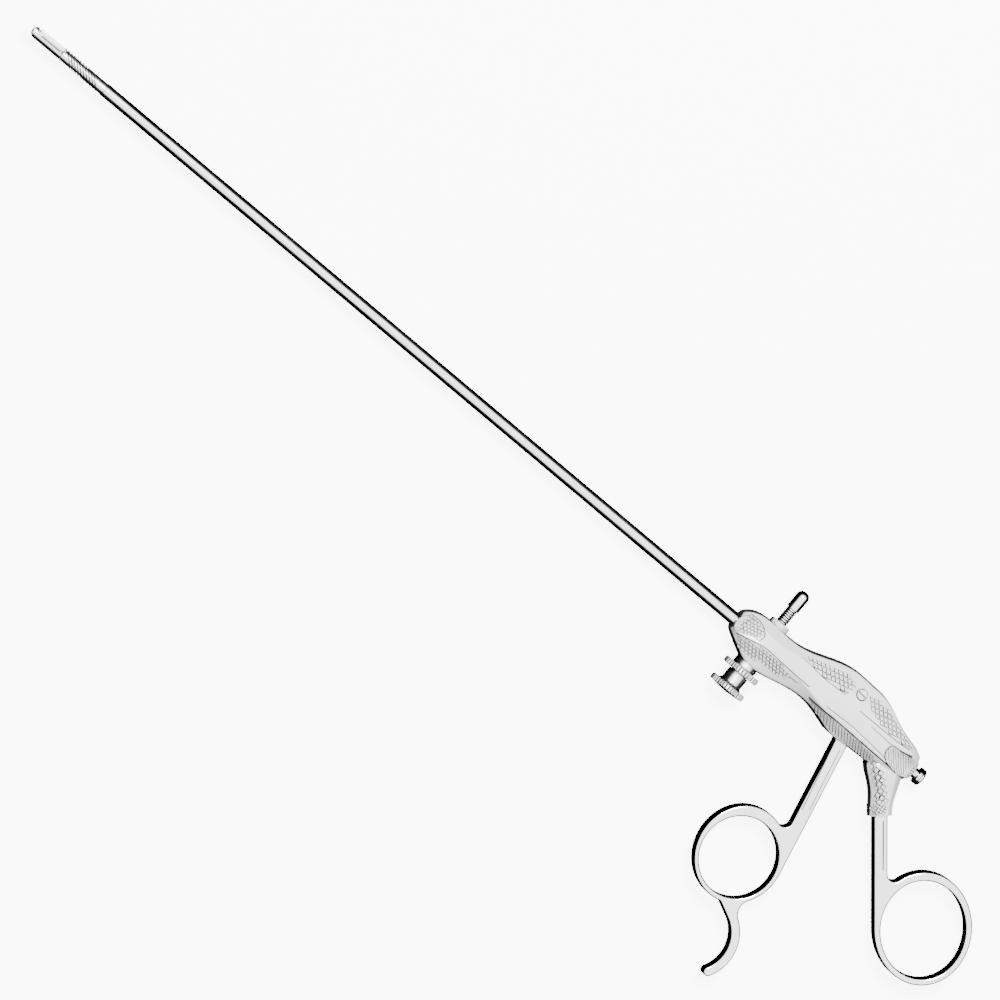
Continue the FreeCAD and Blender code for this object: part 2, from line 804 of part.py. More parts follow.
def moving_jaw():
    """The slimmer jaw, with a slanted slot in its tail for the rod's drive pin."""
    nose = tip_x + jaw_nose_setback
    edge = -jaw_overlap / 2
    tail_end = drive_pin_x + tail_height - contact_gap
    back = nose + jaw_nose_round
    edge_start = V(tip_x + blade_edge_start, edge, 0)
    chin = V(nose + 0.3 * jaw_nose_round, jaw_back / 2, 0)
    hump = V(jaw_pivot_x + 2 * tail_height, jaw_back, 0)
    heel = -1.25 * tail_height
    outline = Part.Wire([
        Part.LineSegment(edge_start, V(jaw_pivot_x, edge, 0)).toShape(),
        Part.LineSegment(V(jaw_pivot_x, edge, 0), V(jaw_pivot_x, heel, 0)).toShape(),
        Part.LineSegment(V(jaw_pivot_x, heel, 0), V(tail_end, -tail_height, 0)).toShape(),
        Part.LineSegment(V(tail_end, -tail_height, 0), V(tail_end, tail_height, 0)).toShape(),
        Part.LineSegment(V(tail_end, tail_height, 0), hump).toShape(),
        Part.LineSegment(hump, V(back, jaw_back, 0)).toShape(),
        Part.Arc(V(back, jaw_back, 0), V(nose, 0.77 * jaw_back, 0), chin).toShape(),
        Part.Arc(chin, V(back, 0.11 * jaw_back, 0), edge_start).toShape(),
    ])
    blade = Part.Face(outline).extrude(V(0, 0, -fork_radius))
    blade = blade.common(blade_limits(-1, contact_gap, tail_thickness))
    blade = blade.cut(through_z(jaw_pin_radius + running_gap, jaw_pivot_x, 0))
    return blade.cut(tail_slot())


def tail_slot():
    """The path of the drive pin, as the turning jaw sees it."""
    steps = 8
    cuts = []
    for i in range(steps + 1):
        share = i / steps
        place = V(jaw_pivot_x, 0, 0) + heading(jaw_opening * share) * (drive_pin_back - rod_travel * share)
        cuts.append(through_z(drive_pin_radius + pin_slot_gap, place.x, place.y))
    return fuse(cuts)


# Rod

def pull_rod():
    """Rod with a flat tongue at the jaws' end and a flat knuckle at the lever's end."""
    low = knuckle_x - knuckle_length / 2
    rod = along_x(rod_radius, rod_shoulder, low)
    tongue_top = running_gap + tongue_thickness
    tongue = block(drive_pin_x, rod_shoulder + 2.0, -tongue_half_height, tongue_half_height,
                   running_gap, tongue_top)
    tongue = tongue.fuse(along_z(tongue_half_height, running_gap, tongue_top, drive_pin_x))
    half = knuckle_thickness / 2
    knuckle = block(low, low + knuckle_length, -knuckle_height / 2, knuckle_height / 2, -half, half)
    knuckle = knuckle.makeFillet(1.2, [e for e in knuckle.Edges if abs(e.tangentAt(0).z) > 0.9])
    rod = fuse([rod, tongue, knuckle])
    rod = rod.cut(through_z(drive_pin_radius, drive_pin_x, 0))
    return rod.cut(through_z(cross_pin_radius, knuckle_x, 0))


def drive_pin():
    """Riveted in the rod's tongue, and loose in the slot of the jaw's tail."""
    low = running_gap - tail_thickness
    high = running_gap + tongue_thickness
    return along_z(drive_pin_radius, low, high, drive_pin_x)


def rod_cross_pin():
    half = lever_half - 0.2
    return along_z(cross_pin_radius, -half, half, knuckle_x)


# Connector pin

def pin_flange():
    low = nose_top - spot_depth
    top = nose_top + pin_flange_height
    disc = along_y(pin_flange_radius, low, top, fitting_x)
    disc = disc.makeChamfer(0.4, [e for e in disc.Edges if e.Closed and e.CenterOfMass.y > top - 0.1])
    return disc.cut(along_y(pin_stud_radius, low, top, fitting_x))


def pin_neck():
    """Ribbed sleeve between the flange and the pin's head."""
    start = nose_top + pin_flange_height
    pitch = pin_neck_length / pin_ribs
    root = fitting_x + pin_neck_radius - pin_rib_depth
    crest = fitting_x + pin_neck_radius
    points = [V(fitting_x + pin_stud_radius, start, 0)]
    for i in range(pin_ribs):
        low = start + i * pitch
        points.extend([V(root, low, 0), V(crest, low + 0.25 * pitch, 0), V(crest, low + 0.6 * pitch, 0)])
    top = start + pin_neck_length
    points.extend([V(root, top, 0), V(fitting_x + pin_stud_radius, top, 0)])
    wire = Part.makePolygon(points + points[:1])
    return Part.Face(wire).revolve(V(fitting_x, 0, 0), Y_AXIS, 360)


def connector_pin():
    """A stud screwed into the core block, and a round-ended head that takes the lead's socket."""
    start = nose_top + pin_flange_height + pin_neck_length
    end = start + pin_head_length
    stud = along_y(pin_stud_radius, tube_radius + 0.8, start, fitting_x)
    head = along_y(pin_head_radius, start, end, fitting_x)
    end_rim = [e for e in head.Edges if e.Closed and e.CenterOfMass.y > end - 0.1]
    head = head.makeFillet(0.92 * pin_head_radius, end_rim)
    return stud.fuse(head).removeSplitter()


# Flush port

def knurled_disc(radius, height, depth, count):
    """A disc along +Y from the origin, with V grooves round its rim and broken edges."""
    points = []
    for i in range(count):
        for share, reach in ((0.0, radius - depth), (0.3, radius), (0.7, radius)):
            turn = 2 * math.pi * (i + share) / count
            points.append(V(reach * math.cos(turn), 0, reach * math.sin(turn)))
    disc = Part.Face(Part.makePolygon(points + points[:1])).extrude(V(0, height, 0))
    rim = height / 5
    outside = radius + contact_gap
    profile = [V(0, 0, 0), V(radius - rim, 0, 0), V(outside, rim, 0),
               V(outside, height - rim, 0), V(radius - rim, height, 0), V(0, height, 0)]
    limit = Part.Face(Part.makePolygon(profile + profile[:1])).revolve(V(0, 0, 0), Y_AXIS, 360)
    return disc.common(limit)


def port_body():
    """Neck on the housing, and the spigot that the cap closes."""
    neck_low = nose_bottom - port_neck_height
    end = port_skirt_low + port_spigot_short
    neck = along_y(port_neck_radius, neck_low, nose_bottom + spot_depth, fitting_x)
    spigot = along_y(port_spigot_radius, end, -tube_radius - 1.0, fitting_x)
    whole = fuse([neck, spigot]).cut(along_y(port_bore_radius, end, -tube_radius - 1.8, fitting_x))
    return whole.cut(along_y(flush_hole_radius, end, 0, fitting_x))


def port_ring():
    disc = knurled_disc(knurl_radius, knurl_height, knurl_depth, knurl_count)
    disc.translate(V(fitting_x, port_ring_low, 0))
    return disc.cut(along_y(port_spigot_radius, port_ring_low, port_ring_low + knurl_height, fitting_x))


def port_cap():
    """Knurled cap whose skirt goes over the spigot, with a plug in its bore."""
    low = port_skirt_low
    room = along_y(port_spigot_radius + slide_gap, low, port_ring_low, fitting_x)
    skirt = along_y(port_barrel_radius, low, port_ring_low - cap_gap, fitting_x).cut(room)
    flare = Part.makeCone(port_barrel_radius + port_flare, port_barrel_radius, port_flare,
                          V(fitting_x, low, 0), Y_AXIS).cut(room)
    disc = knurled_disc(knurl_radius - 0.2, knurl_height, knurl_depth, knurl_count)
    disc.translate(V(fitting_x, low - knurl_height, 0))
    dome_base = knurl_radius - 1.6
    dome_radius = (dome_base ** 2 + cap_dome ** 2) / (2 * cap_dome)
    face = low - knurl_height
    dome = Part.makeSphere(dome_radius, V(fitting_x, face - cap_dome + dome_radius, 0))
    dome = dome.common(along_y(dome_base + 1, face - 2 * cap_dome, face, fitting_x))
    plug = along_y(port_bore_radius - slide_gap, low, low + cap_plug_length, fitting_x)
    return fuse([skirt, disc, dome, flare, plug])


def cap_seal():
    """Flat ring in the cap, that the spigot's end presses on."""
    top = port_skirt_low + cap_seal_height
    outer = along_y(port_spigot_radius, port_skirt_low, top, fitting_x)
    return outer.cut(along_y(port_bore_radius, port_skirt_low, top, fitting_x))


# Push button

def button_collar():
    """Knurled ring on the rear face, with a bush that reaches into the housing."""
    disc = knurled_disc(collar_radius, collar_height, 0.7 * knurl_depth, collar_knurls)
    disc.rotate(V(0, 0, 0), Z_AXIS, -90)
    disc.translate(V(housing_end, button_y, 0))
    outside = housing_end + collar_height
    bush = along_x(collar_bore + 0.6, collar_base, housing_end, button_y)
    whole = fuse([disc, bush])
    whole = whole.cut(along_x(collar_bore, collar_base + collar_floor, outside, button_y))
    return whole.cut(along_x(button_stem_radius + slide_gap, collar_base, outside, button_y))


def push_button():
    knob_start = housing_end + collar_height + button_travel + knob_gap
    knob_end = knob_start + button_height
    knob = along_x(button_radius, knob_start, knob_end, button_y)
    end_rim = [e for e in knob.Edges if e.Closed and e.CenterOfMass.x > knob_end - 0.1]
    knob = knob.makeFillet(button_round, end_rim)
    groove_start = knob_start + 2 * button_groove
    groove = along_x(button_radius + 1, groove_start, groove_start + button_groove, button_y)
    groove = groove.cut(along_x(button_radius - button_groove, knob_start, knob_end, button_y))
    neck_start = collar_base + collar_floor + button_travel + knob_gap
    neck = along_x(button_neck_radius, neck_start, knob_start, button_y)
    stem = along_x(button_stem_radius, latch_end, neck_start, button_y)
    return fuse([knob.cut(groove), neck, stem])


def button_clip():
    """Washer fixed on the button's stem, between the spring and the collar."""
    start = spring_front + spring_length
    ring = along_x(spring_radius + 0.5, start, start + clip_thickness, button_y)
    return ring.cut(along_x(button_stem_radius, start, start + clip_thickness, button_y))


def button_spring():
    """Return spring, wound from one pipe along a helix."""
    room = spring_length - 2 * spring_wire - 2 * running_gap
    helix = Part.makeHelix(room / spring_turns, room, spring_radius)
    section = Part.Wire([Part.Circle(V(spring_radius, 0, 0), Y_AXIS, spring_wire).toShape()])
    coil = Part.Wire(helix.Edges).makePipeShell([section], True, True)
    coil.rotate(V(0, 0, 0), Y_AXIS, 90)
    coil.translate(V(spring_front + spring_wire + running_gap, button_y, 0))
    return coil


def latch_slide():
    start = latch_end - latch_length
    half_y = latch_height / 2
    half_z = latch_thickness / 2
    body = block(start, latch_end, button_y - half_y, button_y + half_y, -half_z, half_z)
    top = button_y + half_y
    ramp = plate([(start, button_y + half_y / 4), (start + latch_ramp, top), (start, top)], -half_z, half_z)
    return body.cut(ramp)


def build():
    left, right = housing_shells()
    return {
        "housing_left": left,
        "housing_right": right,
        "shell_screws": shell_screws(),
        "nose_bush": nose_bush(),
        "core_block": core_block(),
        "shaft_tube": shaft_tube(),
        "shaft_sleeve": shaft_sleeve(),
        "fork_tip": fork_tip(),
        "fixed_jaw": fixed_jaw(),
        "moving_jaw": moving_jaw(),
        "jaw_pivot_pin": jaw_pivot_pin(),
        "pull_rod": pull_rod(),
        "drive_pin": drive_pin(),
        "rod_cross_pin": rod_cross_pin(),
        "rod_seal": rod_seal(),
        "front_lever": front_lever(),
        "lever_bush": lever_bush(),
        "pivot_screw": pivot_screw(),
        "pivot_nut": pivot_nut(),
        "rear_handle": rear_handle(),
        "tang_pins": tang_pins(),
        "connector_pin": connector_pin(),
        "pin_neck": pin_neck(),
        "pin_flange": pin_flange(),
        "port_body": port_body(),
        "port_ring": port_ring(),
        "port_cap": port_cap(),
        "cap_seal": cap_seal(),
        "button_collar": button_collar(),
        "push_button": push_button(),
        "button_clip": button_clip(),
        "button_spring": button_spring(),
        "latch_slide": latch_slide(),
    }


os.makedirs("parts", exist_ok=True)
for name, shape in build().items():
    print(f"{name}: {len(shape.Solids)} solid, {shape.Volume:.1f} mm3, valid {shape.isValid()}")
    shape.exportStep(f"parts/{name}.step")
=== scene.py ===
"""Laparoscopic hook scissors on a pale studio floor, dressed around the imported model."""

import bpy
import bmesh
import json
import math
from mathutils import Matrix, Vector
from mathutils.bvhtree import BVHTree


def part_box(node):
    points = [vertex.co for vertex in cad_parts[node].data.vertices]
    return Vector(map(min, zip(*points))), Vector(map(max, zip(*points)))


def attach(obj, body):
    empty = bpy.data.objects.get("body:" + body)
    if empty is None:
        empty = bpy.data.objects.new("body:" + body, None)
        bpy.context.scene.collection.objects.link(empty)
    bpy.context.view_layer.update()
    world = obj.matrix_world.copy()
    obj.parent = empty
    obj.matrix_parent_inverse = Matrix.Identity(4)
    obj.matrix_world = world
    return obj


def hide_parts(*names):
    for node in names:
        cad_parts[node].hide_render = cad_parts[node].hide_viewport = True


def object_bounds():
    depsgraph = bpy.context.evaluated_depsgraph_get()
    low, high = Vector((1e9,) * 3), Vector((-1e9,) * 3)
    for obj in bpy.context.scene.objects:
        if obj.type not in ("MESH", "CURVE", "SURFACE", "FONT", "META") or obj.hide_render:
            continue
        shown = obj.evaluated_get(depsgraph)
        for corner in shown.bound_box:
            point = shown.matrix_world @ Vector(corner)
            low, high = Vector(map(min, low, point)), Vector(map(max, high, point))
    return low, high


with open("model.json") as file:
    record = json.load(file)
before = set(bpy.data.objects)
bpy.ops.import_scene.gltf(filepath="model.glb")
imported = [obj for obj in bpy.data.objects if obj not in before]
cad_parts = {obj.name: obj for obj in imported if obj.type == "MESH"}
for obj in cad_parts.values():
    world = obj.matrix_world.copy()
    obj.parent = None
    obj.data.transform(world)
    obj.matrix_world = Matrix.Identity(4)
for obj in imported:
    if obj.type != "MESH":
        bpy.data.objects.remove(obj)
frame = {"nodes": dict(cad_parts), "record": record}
cad_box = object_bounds()

# Sizes, in metres
MM = 0.001
METRES_PER_PIXEL = 0.35 * MM
SHAFT_ANGLE = math.radians(40.0)
CAMERA_TILT = math.radians(15.0)
NOSE_PIXEL = (735.0, 619.0)
IMAGE_SIZE = 1000.0
LENS = 1500.0
SENSOR = 36.0
ABOVE_FLANK = 30.0 * MM
WELD = 0.002 * MM
CRISP_TURN = math.radians(38.0)

# Tones of painted shade: in grooves, on side walls, at the foot of cells and in the shadow-line beads
CREVICE_SHADE_SHARE = 0.04
WALL_SHADE_TONE = (0.02, 0.02, 0.02)
PAINTED_SHADE_TONE = (0.006, 0.006, 0.006)
FOOT_SHADE_FROM, FOOT_SHADE_TO = 0.8, 0.99


# Node helpers

def node(tree, kind, inputs=None, **settings):
    """A node with its settings made and its inputs linked or given a value."""
    made = tree.nodes.new(kind)
    for name, value in settings.items():
        setattr(made, name, value)
    for key, value in (inputs or {}).items():
        socket = made.inputs[key]
        if isinstance(value, bpy.types.NodeSocket):
            tree.links.new(value, socket)
        else:
            socket.default_value = value
    return made


def calc(tree, operation, first, second=0.0, third=0.0):
    return node(tree, "ShaderNodeMath", {0: first, 1: second, 2: third}, operation=operation).outputs[0]


def vector_calc(tree, operation, first, second):
    key = "Scale" if operation == "SCALE" else 1
    made = node(tree, "ShaderNodeVectorMath", {0: first, key: second}, operation=operation)
    return made.outputs["Vector"]


def map_range(tree, value, low, high, to_low, to_high):
    limits = {"Value": value, "From Min": low, "From Max": high, "To Min": to_low, "To Max": to_high}
    return node(tree, "ShaderNodeMapRange", limits).outputs["Result"]


def tint(tree, mask, open_colour, deep_colour):
    """The open colour, a socket or three numbers, which turns to the deep colour where the mask is 1."""
    if not isinstance(open_colour, bpy.types.NodeSocket):
        open_colour = (*open_colour, 1.0)
    ends = {"Factor": mask, "A": open_colour, "B": (*deep_colour, 1.0)}
    return node(tree, "ShaderNodeMix", ends, data_type="RGBA").outputs["Result"]


# Shader groups

def shader_group(name, inputs, outputs):
    """A shader group with named sockets. inputs are (name, socket type, default)."""
    group = bpy.data.node_groups.new(name, "ShaderNodeTree")
    for label, kind, default in inputs:
        group.interface.new_socket(name=label, in_out="INPUT", socket_type=kind).default_value = default
    for label, kind in outputs:
        group.interface.new_socket(name=label, in_out="OUTPUT", socket_type=kind)
    return group, node(group, "NodeGroupInput").outputs, node(group, "NodeGroupOutput").inputs


def grain_group():
    """Fine drawn-out scratches: a height and a roughness mask from stretched noise."""
    group, given, result = shader_group(
        "brushed grain",
        [("Stretch", "NodeSocketVector", (1, 1, 1)), ("Scale", "NodeSocketFloat", 400.0)],
        [("Height", "NodeSocketFloat"), ("Mask", "NodeSocketFloat")],
    )
    coords = node(group, "ShaderNodeTexCoord").outputs["Object"]
    drawn = vector_calc(group, "MULTIPLY", coords, given["Stretch"])
    fine = node(group, "ShaderNodeTexNoise", {"Vector": drawn, "Scale": given["Scale"], "Detail": 4.0})
    cloud = node(group, "ShaderNodeTexNoise", {"Vector": coords, "Scale": 45.0, "Detail": 3.0})
    share = calc(group, "MULTIPLY", fine.outputs["Fac"], 0.4)
    mixed = calc(group, "MULTIPLY_ADD", cloud.outputs["Fac"], 0.6, share)
    group.links.new(fine.outputs["Fac"], result["Height"])
    group.links.new(mixed, result["Mask"])
    return group


def crevice_shade_group():
    """A mask for painted shade: 1 in tight grooves and corners and 0 on open surface."""
    group, given, result = shader_group(
        "crevice shade",
        [("Reach", "NodeSocketFloat", 0.8 * MM), ("Strength", "NodeSocketFloat", 1.0)],
        [("Mask", "NodeSocketFloat")],
    )
    shade = node(group, "ShaderNodeAmbientOcclusion", {"Distance": given["Reach"]}, samples=8)
    closed = calc(group, "SUBTRACT", 1.0, shade.outputs["AO"])
    strong = calc(group, "MULTIPLY", closed, given["Strength"])
    group.links.new(calc(group, "MINIMUM", strong, 1.0), result["Mask"])
    return group


def wall_shade_group():
    """A mask for painted shade: 1 on the side walls, which face across the flanks, and 0 on the flanks."""
    group, given, result = shader_group(
        "side wall",
        [("Wall", "NodeSocketFloat", 0.42), ("Flank", "NodeSocketFloat", 0.62)],
        [("Mask", "NodeSocketFloat")],
    )
    normal = node(group, "ShaderNodeTexCoord").outputs["Normal"]
    rise = calc(group, "ABSOLUTE", node(group, "ShaderNodeSeparateXYZ", {0: normal}).outputs["Z"])
    mask = map_range(group, rise, given["Wall"], given["Flank"], 1.0, 0.0)
    group.links.new(mask, result["Mask"])
    return group


GRAIN = grain_group()
# The next two are masks where shade is painted into the colour: in grooves and on side walls
CREVICE_SHADE = crevice_shade_group()
WALL_SHADE = wall_shade_group()


def placed(tree, group, values):
    """The outputs of a group set in a material, with its inputs given."""
    made = tree.nodes.new("ShaderNodeGroup")
    made.node_tree = group
    for name, value in values.items():
        made.inputs[name].default_value = value
    return made.outputs


# Materials

def new_material(name):
    material = bpy.data.materials.new(name)
    material.use_nodes = True
    tree = material.node_tree
    tree.nodes.clear()
    output = tree.nodes.new("ShaderNodeOutputMaterial")
    shader = tree.nodes.new("ShaderNodeBsdfPrincipled")
    tree.links.new(shader.outputs["BSDF"], output.inputs["Surface"])
    return material, tree, shader


def shaded(tree, colour, reach, crevice, walls):
    """The colour with painted shade: dark in the grooves and, where limits for them are given, on the side
    walls.
    """
    # painted shade: the colour turns dark in grooves and corners
    groove_shade = placed(tree, CREVICE_SHADE, {"Reach": reach, "Strength": crevice})
    skin = tint(tree, groove_shade["Mask"], colour, tuple(CREVICE_SHADE_SHARE * c for c in colour))
    if walls:
        # painted shade: the side walls turn dark
        wall_shade = placed(tree, WALL_SHADE, {"Wall": walls[0], "Flank": walls[1]})
        skin = tint(tree, wall_shade["Mask"], skin, WALL_SHADE_TONE)
    return skin


def steel(name, colour, roughness, stretch=(1, 1, 1), scale=1200.0, bump=0.2, crevice=1.6,
          reach=0.9 * MM, walls=None):
    """Metal with drawn-out grain, cloudy roughness and painted shade in its grooves."""
    material, tree, shader = new_material(name)
    shader.inputs["Metallic"].default_value = 1.0
    grain = placed(tree, GRAIN, {"Stretch": stretch, "Scale": scale})
    tree.links.new(shaded(tree, colour, reach, crevice, walls), shader.inputs["Base Color"])
    rough = map_range(tree, grain["Mask"], 0.35, 0.65, roughness * 0.75, roughness * 1.3)
    tree.links.new(rough, shader.inputs["Roughness"])
    fine = {"Strength": bump, "Distance": 0.02 * MM, "Height": grain["Height"]}
    tree.links.new(node(tree, "ShaderNodeBump", fine).outputs["Normal"], shader.inputs["Normal"])
    return material


def plastic(name, colour, roughness, texture_scale, bump, crevice=1.6, reach=1.0 * MM,
            relief=False, coat=0.0, walls=None, matte=False):
    """Moulded plastic with a fine spark-eroded texture and painted shade in its grooves.

    With relief, the colour also deepens towards the foot of raised cells, which carry their height: painted
    shade between the cells.
    """
    material, tree, shader = new_material(name)
    shader.inputs["IOR"].default_value = 1.5
    shader.inputs["Specular IOR Level"].default_value = 0.1 if matte else 0.5
    shader.inputs["Coat Weight"].default_value = coat
    shader.inputs["Coat Roughness"].default_value = 0.12
    shader.inputs["Coat IOR"].default_value = 2.0
    coords = node(tree, "ShaderNodeTexCoord").outputs["Object"]
    noise = node(tree, "ShaderNodeTexNoise", {"Vector": coords, "Scale": texture_scale, "Detail": 3.0})
    cloud = node(tree, "ShaderNodeTexNoise", {"Vector": coords, "Scale": 60.0})
    skin = shaded(tree, colour, reach, crevice, walls)
    if relief:
        # painted shade: the colour turns dark towards the foot of each cell
        height = node(tree, "ShaderNodeAttribute", attribute_name="relief").outputs["Fac"]
        foot = map_range(tree, height, FOOT_SHADE_FROM, FOOT_SHADE_TO, 1.0, 0.0)
        skin = tint(tree, foot, skin, PAINTED_SHADE_TONE)
    tree.links.new(skin, shader.inputs["Base Color"])
    rough = map_range(tree, cloud.outputs["Fac"], 0.3, 0.7, roughness * 0.85, roughness * 1.15)
    tree.links.new(rough, shader.inputs["Roughness"])
    fine = {"Strength": bump, "Distance": 0.03 * MM, "Height": noise.outputs["Fac"]}
    tree.links.new(node(tree, "ShaderNodeBump", fine).outputs["Normal"], shader.inputs["Normal"])
    return material


HOUSING_TONE = (0.80, 0.80, 0.79)
BRIGHT_TONE = (0.9, 0.9, 0.91)
# crevice sets how strongly shade is painted into grooves; walls gives the limits of the shade painted on the
# side walls
MATERIALS = {
    "moulded_housing": plastic("moulded housing", HOUSING_TONE, 0.38, 2600.0, 0.2, coat=1.0,
                               walls=(0.33, 0.55)),
    "insulating_plastic": plastic("insulating plastic", (0.72, 0.72, 0.71), 0.3, 1800.0, 0.2, coat=1.0,
                                  walls=(0.3, 0.6)),
    "shaft_sleeve": steel("shaft sleeve", (0.9, 0.9, 0.9), 0.17, scale=500.0, bump=0.05),
    "polished_steel": steel("polished steel", (0.92, 0.92, 0.92), 0.13, scale=700.0, bump=0.1,
                            walls=(0.35, 0.6)),
    "satin_steel": steel("satin steel", BRIGHT_TONE, 0.22, bump=0.25, crevice=2.6, reach=0.7 * MM,
                         walls=(0.3, 0.55)),
    "blade_steel": steel("blade steel", BRIGHT_TONE, 0.2, stretch=(0.15, 1, 1), scale=1500.0),
    "fastener_steel": steel("fastener steel", (0.8, 0.8, 0.81), 0.24),
    "spring_steel": steel("spring steel", (0.6, 0.6, 0.61), 0.3, scale=1500.0),
    "bush_brass": steel("bush brass", (0.78, 0.62, 0.34), 0.25),
    "seal_rubber": plastic("seal rubber", (0.03, 0.03, 0.03), 0.6, 1500.0, 0.3),
}
# The grip cells get painted shade in their grooves and at the foot of each cell
CHEQUERED = plastic("chequered grip", HOUSING_TONE, 0.5, 2600.0, 0.25, crevice=0.3,
                    relief=True, matte=True)
# Near-black finish of the beads that paint shadow lines along edges, creases, the shell joint and the bare
# tube
SHADOW_LINE = plastic("shadow line", PAINTED_SHADE_TONE, 0.7, 2000.0, 0.2, crevice=0.0, matte=True)


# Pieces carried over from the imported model

def mesh_object(name, mesh):
    piece = bpy.data.objects.new(name, mesh)
    bpy.context.scene.collection.objects.link(piece)
    return piece


def clean_copy(source_node):
    """A welded, smooth-shaded copy of a node's mesh, with crisp edges where it turns sharply."""
    mesh = frame["nodes"][source_node].data.copy()
    mesh.name = source_node + "_dressed"
    piece = mesh_object(mesh.name, mesh)
    work = bmesh.new()
    work.from_mesh(mesh)
    bmesh.ops.remove_doubles(work, verts=work.verts, dist=WELD)
    bmesh.ops.dissolve_degenerate(work, edges=work.edges, dist=WELD / 2)
    for face in work.faces:
        face.smooth = True
    for edge in work.edges:
        if len(edge.link_faces) == 2 and edge.calc_face_angle(0.0) > CRISP_TURN:
            edge.smooth = False
    work.to_mesh(mesh)
    work.free()
    return piece


def body_of(member):
    for body, members in frame["record"]["behaviour"]["bodies"].items():
        if member in members:
            return body
    return "handle"


def dress_nodes():
    for part in frame["record"]["subparts"]:
        piece = clean_copy(part["node"])
        piece.data.materials.clear()
        piece.data.materials.append(MATERIALS[part["material_slot"]])
        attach(piece, body_of(part["node"]))
        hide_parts(part["node"])


# Repeated relief, laid on the pieces by geometry trees

def relief_tree(name, inputs):
    """A geometry tree with the given named inputs after its geometry."""
    tree = bpy.data.node_groups.new(name, "GeometryNodeTree")
    for label, kind in [("Geometry", "NodeSocketGeometry"), *inputs]:
        tree.interface.new_socket(name=label, in_out="INPUT", socket_type=kind)
    tree.interface.new_socket(name="Geometry", in_out="OUTPUT", socket_type="NodeSocketGeometry")
    return tree, node(tree, "NodeGroupInput").outputs, node(tree, "NodeGroupOutput").inputs["Geometry"]


def drop_onto(tree, target, reach):
    """What lies straight below each point of the target."""
    return node(tree, "GeometryNodeRaycast", {
        "Target Geometry": target, "Ray Direction": (0, 0, -1), "Ray Length": reach}).outputs


def host_mesh(tree, host):
    info = node(tree, "GeometryNodeObjectInfo", {"Object": host}, transform_space="ORIGINAL")
    return info.outputs["Geometry"]


def chequer_tree():
    """Truncated cells on a slanted lattice, kept inside the zone above the host and laid on the host."""
    tree, given, result = relief_tree("chequering", [
        ("Host", "NodeSocketObject"), ("Centre", "NodeSocketVector"), ("First Step", "NodeSocketVector"),
        ("Second Step", "NodeSocketVector"), ("Rows", "NodeSocketInt"), ("Top Share", "NodeSocketVector"),
        ("Height", "NodeSocketFloat"), ("Sunk", "NodeSocketFloat"), ("Least Lean", "NodeSocketFloat"),
        ("Finish", "NodeSocketMaterial")])
    span = calc(tree, "SUBTRACT", given["Rows"], 1.0)
    grid = node(tree, "GeometryNodeMeshGrid", {
        "Size X": span, "Size Y": span, "Vertices X": given["Rows"], "Vertices Y": given["Rows"]})
    place = node(tree, "GeometryNodeInputPosition").outputs["Position"]
    split = node(tree, "ShaderNodeSeparateXYZ", {0: place}).outputs
    first = vector_calc(tree, "SCALE", given["First Step"], split["X"])
    second = vector_calc(tree, "SCALE", given["Second Step"], split["Y"])
    slanted = vector_calc(tree, "ADD", vector_calc(tree, "ADD", first, second), given["Centre"])
    lattice = node(tree, "GeometryNodeSetPosition", {"Geometry": grid.outputs["Mesh"], "Position": slanted})
    zone = drop_onto(tree, given["Geometry"], 0.5 * ABOVE_FLANK)
    flank = drop_onto(tree, host_mesh(tree, given["Host"]), 3 * ABOVE_FLANK)
    lean = node(tree, "ShaderNodeSeparateXYZ", {0: flank["Hit Normal"]}).outputs["Z"]
    facing = node(tree, "FunctionNodeCompare", {0: lean, 1: given["Least Lean"]}, data_type="FLOAT")
    facing.operation = "GREATER_THAN"
    inside = node(tree, "FunctionNodeBooleanMath", {0: zone["Is Hit"], 1: facing.outputs["Result"]})
    outside = node(tree, "FunctionNodeBooleanMath", {0: inside.outputs[0]}, operation="NOT")
    leaning = node(tree, "GeometryNodeStoreNamedAttribute", data_type="FLOAT_VECTOR", domain="POINT")
    tree.links.new(lattice.outputs["Geometry"], leaning.inputs["Geometry"])
    leaning.inputs["Name"].default_value = "lean"
    tree.links.new(flank["Hit Normal"], leaning.inputs["Value"])
    kept = node(tree, "GeometryNodeDeleteGeometry", {
        "Geometry": leaning.outputs["Geometry"], "Selection": outside.outputs[0]}, domain="POINT")
    laid = node(tree, "GeometryNodeSetPosition", {
        "Geometry": kept.outputs["Geometry"], "Position": flank["Hit Position"]})
    stored = node(tree, "GeometryNodeInputNamedAttribute", {"Name": "lean"}, data_type="FLOAT_VECTOR")
    turn = node(tree, "FunctionNodeAlignRotationToVector", {"Vector": stored.outputs["Attribute"]}, axis="Z")
    cells = node(tree, "GeometryNodeInstanceOnPoints", {
        "Points": laid.outputs["Geometry"], "Instance": chequer_cell(tree, given),
        "Rotation": turn.outputs["Rotation"]})
    real = node(tree, "GeometryNodeRealizeInstances", {"Geometry": cells.outputs["Instances"]})
    plain = node(tree, "GeometryNodeRemoveAttribute", {"Geometry": real.outputs["Geometry"], "Name": "lean"})
    finish = node(tree, "GeometryNodeSetMaterial", {
        "Geometry": plain.outputs["Geometry"], "Material": given["Finish"]})
    tree.links.new(finish.outputs["Geometry"], result)
    return tree


